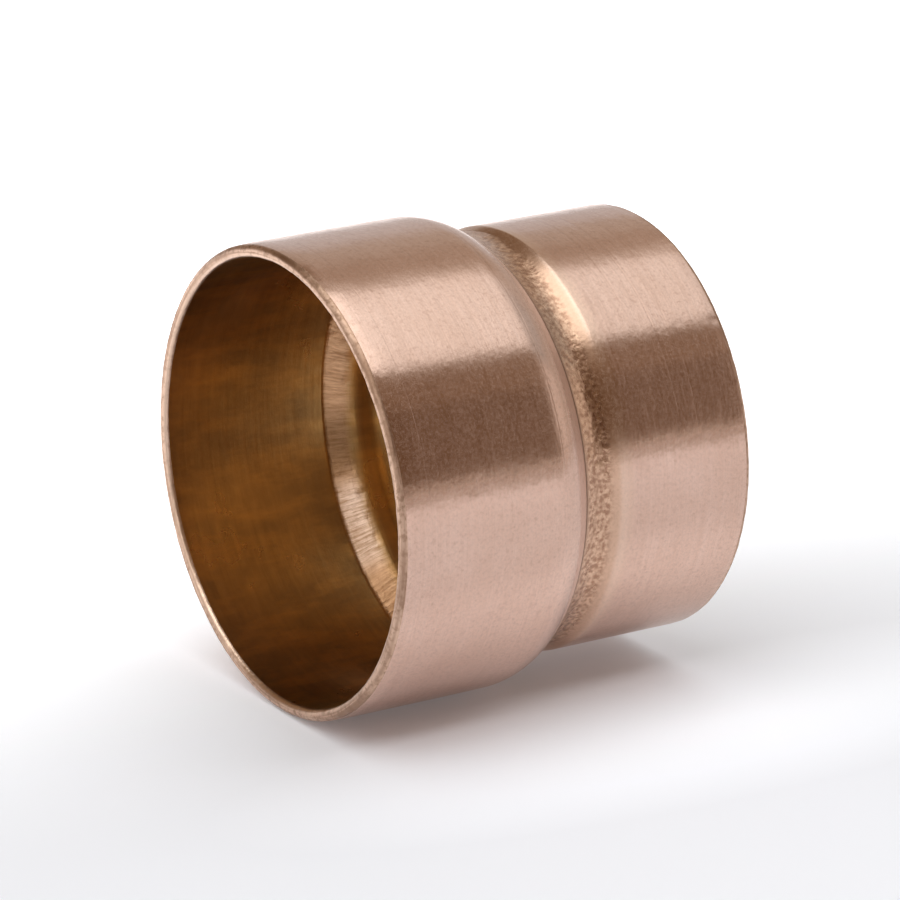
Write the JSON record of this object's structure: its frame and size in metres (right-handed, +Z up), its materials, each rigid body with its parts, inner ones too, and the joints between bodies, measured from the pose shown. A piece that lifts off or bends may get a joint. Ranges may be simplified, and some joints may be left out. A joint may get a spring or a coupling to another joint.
{
  "type": "copper reducing coupling",
  "caption": "Drawn copper solder coupling with two plain sockets of different sizes and a rolled groove between them that stops both tubes.",
  "frame": {"origin": "centre of the large socket's mouth, on the fitting's axis", "axes": "+X along the fitting's axis from the large socket to the small one, +Z up, the fitting lying on its side"},
  "size_m": [0.0325, 0.0372, 0.0372],
  "materials": {
    "copper": "satin copper, brushed round the axis outside, as formed inside and in the groove"
  },
  "bodies": {
    "root": {"coupling_body": "copper"}
  },
  "joints": []
}
